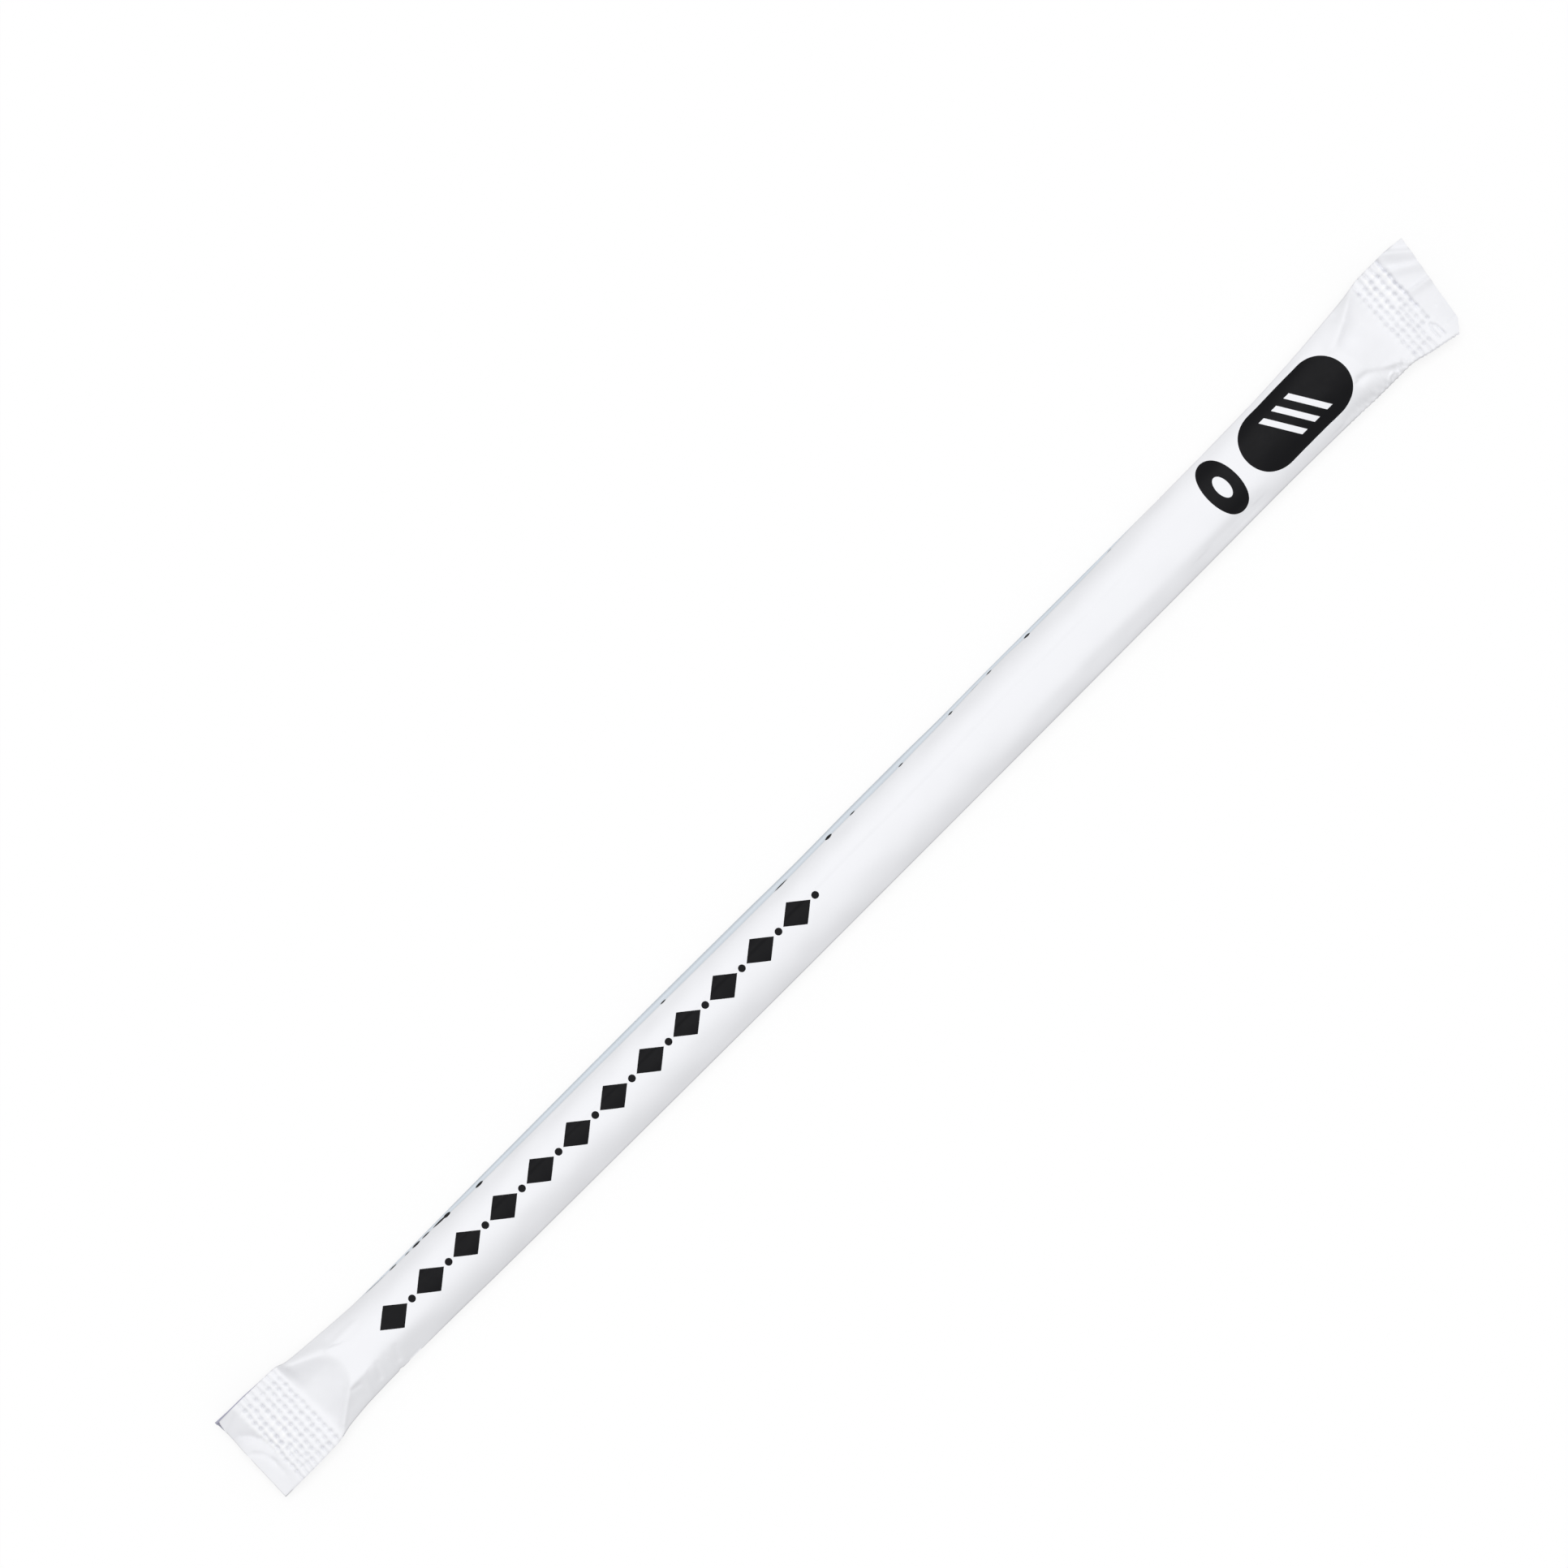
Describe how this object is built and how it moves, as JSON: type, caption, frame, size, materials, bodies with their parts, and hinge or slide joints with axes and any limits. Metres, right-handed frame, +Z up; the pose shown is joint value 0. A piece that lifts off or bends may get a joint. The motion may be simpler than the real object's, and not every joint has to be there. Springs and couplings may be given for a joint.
{
  "type": "wrapped drinking straw",
  "caption": "Paper drinking straw sealed in a white paper sleeve, a flat tube with a long lap seam, crimped across near both ends.",
  "frame": {"origin": "middle of the pack's bounding box, on the surface that it lies on", "axes": "+X along the straw, from the square-cut end of the sleeve to the slanted end; +Y to the side fold where the lap seam's free edge shows; +Z up"},
  "size_m": [0.2486, 0.0164, 0.008],
  "materials": {
    "sleeve_paper": "thin smooth white paper with black print"
  },
  "bodies": {
    "root": {"wrapped_straw": "sleeve_paper"}
  },
  "joints": []
}
